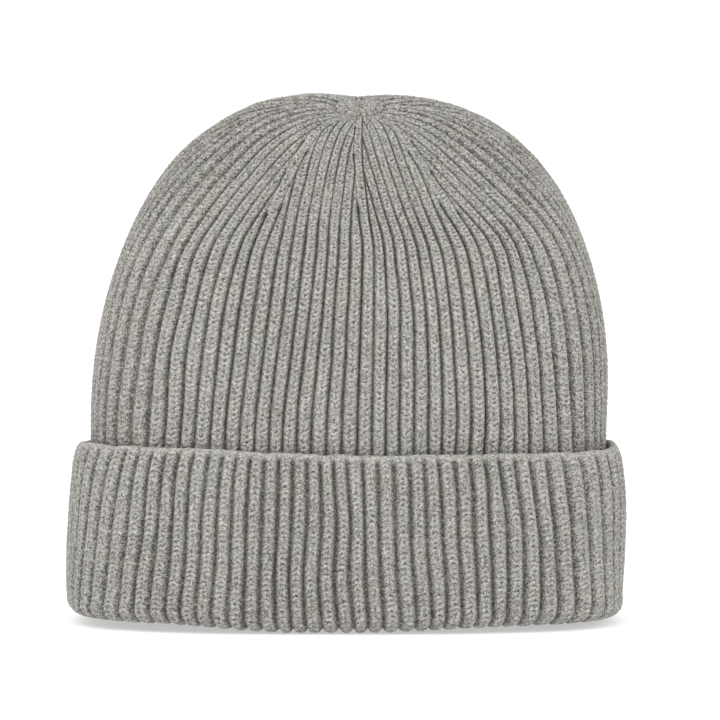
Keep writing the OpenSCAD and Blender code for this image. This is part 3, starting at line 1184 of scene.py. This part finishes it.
def twisted_thread(name, light, dark):
    """Plied sewing thread: lines that wind round it, pale on each ply, with painted shade between the
    plies.
    """
    tree = Tree(name)
    across, up = tree.knit_place()
    # painted shade between the plies, where the bump is low
    ply = ((across * 2.0 + up * 1.5).fract() - 0.5).abs() * 2.0
    fuzz = tree.noise(tree.object_place(), 1800.0, 3.0, 0.7)
    tone = (ply * 0.5 + 0.2 + (fuzz - 0.5) * 1.2).clamp()
    tree.put(tree.shader.inputs["Base Color"], tree.mix(tone, colour(*dark), colour(*light)))
    bump = tree.add("ShaderNodeBump", {}, Strength=0.5, Distance=0.0004, Height=ply + fuzz * 0.6)
    tree.put(tree.shader.inputs["Normal"], bump)
    tree.shader.inputs["Roughness"].default_value = 0.85
    tree.shader.inputs["Specular IOR Level"].default_value = 0.15
    return tree.material


wool = knit_wool("heather_wool", WOOL_LIGHT, WOOL_DARK_AND_SHADE, WOOL_PATCHES)
satin = satin_weave("label_satin")
seam_thread = twisted_thread("seam_yarn", SEAM_LIGHT, SEAM_DARK_AND_SHADE)
label_thread = twisted_thread("label_thread", TACK_LIGHT, TACK_DARK_AND_SHADE)


def dress(piece, material, body, slot, *nodes):
    """Gives a piece its material and its body, and hides the CAD nodes that it stands for. The slot is
    not used.
    """
    piece.data.materials.append(material)
    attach(piece, body)
    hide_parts(*nodes)
    return piece


# ---------------------------------------------------------------- the hat

PANEL_NAMES = [
    "hat_panel_back_left",
    "hat_panel_left_back",
    "hat_panel_left_front",
    "hat_panel_front_left",
    "hat_panel_front_right",
    "hat_panel_right_front",
    "hat_panel_right_back",
    "hat_panel_back_right",
]
for k, name in enumerate(PANEL_NAMES):
    dress(hat_panel(name, k), wool, "hat", "rib_knit", "body", "crown")

# The band and the cuff are made in quarters, each with its first rib
QUARTER = RIBS // 4
FIRST_RIBS = {"left": -33, "front": -11, "right": 11, "back": 33}
for place, first_rib in FIRST_RIBS.items():
    band = band_panel("band_" + place, first_rib, QUARTER)
    dress(band, wool, "hat", "rib_knit", "inner_band")
for place, first_rib in FIRST_RIBS.items():
    cuff = cuff_panel("cuff_" + place, first_rib, QUARTER)
    dress(cuff, wool, "turned_cuff", "rib_knit", "cuff", "cuff_edge", "cuff_fold")

dress(gather_disc("crown_gather_knit"), wool, "hat", "rib_knit", "crown_gather")
dress(thread_ring("draw_thread_yarn"), seam_thread, "hat", "seam_yarn", "draw_thread")
dress(thread_knot("draw_knot_yarn"), seam_thread, "hat", "seam_yarn", "draw_knot")
dress(hat_seam("back_seam_ridge"), wool, "hat", "rib_knit", "back_seam")
dress(turned_seam("cuff_seam_ridge"), wool, "turned_cuff", "rib_knit", "cuff_seam")
label = dress(label_sheet("blank_label"), satin, "hat", "label_satin", "care_label")
dress(label_tacks("label_tacks"), label_thread, "hat", "label_thread", "label_stitches")


# ---------------------------------------------------------------- stage, lights and camera


# The floor's colour and its own faint painted glow, which keeps it white and lightens the hat's shadow
# on it, and the lights
FLOOR_GREY = 0.6
FLOOR_GLOW = 0.47
WORLD_LIGHT = 1.04
LAMPS_AIM = Vector((0, 0, 0.1))


def make_stage():
    """A wide pale floor, on which the hat stands, with a faint painted glow of its own that lightens the
    hat's shadow on it.
    """
    far = 6000.0
    points = np.array([[-far, -far, 0], [far, -far, 0], [far, far, 0], [-far, far, 0]])
    floor = make_mesh("floor", points, np.array([[0, 1, 2], [0, 2, 3]]))
    tree = Tree("pale_floor")
    tree.shader.inputs["Base Color"].default_value = colour(FLOOR_GREY, FLOOR_GREY, FLOOR_GREY)
    tree.shader.inputs["Emission Color"].default_value = colour(1, 1, 1)
    # painted glow: the floor gives off light of its own
    tree.shader.inputs["Emission Strength"].default_value = FLOOR_GLOW
    tree.shader.inputs["Roughness"].default_value = 0.9
    floor.data.materials.append(tree.material)


def point_at(holder, place, aim):
    """Puts a lamp or a camera at a place, turned towards what it is aimed at."""
    holder.location = place
    holder.rotation_euler = (aim - Vector(place)).to_track_quat("-Z", "Y").to_euler()
    bpy.context.scene.collection.objects.link(holder)


def area_light(name, place, size, power):
    lamp = bpy.data.lights.new(name, "AREA")
    lamp.size = size
    lamp.energy = power
    point_at(bpy.data.objects.new(name, lamp), place, LAMPS_AIM)


def make_camera():
    """A very long lens far in front of the hat, a few degrees above its middle."""
    seen_width = 0.290
    sensor = 36
    lens = bpy.data.cameras.new("camera")
    lens.lens = 400
    lens.sensor_width = sensor
    lens.clip_end = 50
    holder = bpy.data.objects.new("camera", lens)
    elevation = math.radians(3.2)
    distance = seen_width * lens.lens / sensor
    middle = Vector((0.0048, 0, 0.1052))
    place = middle + distance * Vector((0, -math.cos(elevation), math.sin(elevation)))
    point_at(holder, place, middle)
    bpy.context.scene.camera = holder


def make_world():
    """An even white surround."""
    world = bpy.data.worlds.new("studio")
    world.use_nodes = True
    background = world.node_tree.nodes["Background"]
    background.inputs["Color"].default_value = colour(1, 1, 1)
    background.inputs["Strength"].default_value = WORLD_LIGHT
    bpy.context.scene.world = world
    bpy.context.scene.view_settings.view_transform = "Standard"


make_stage()
area_light("key", (-0.6, -1.3, 1.5), size=1.2, power=13)
area_light("fill", (0.9, -1.4, 0.7), size=1.4, power=5)
area_light("top", (0, 0.1, 1.6), size=1.2, power=4)
make_camera()
make_world()
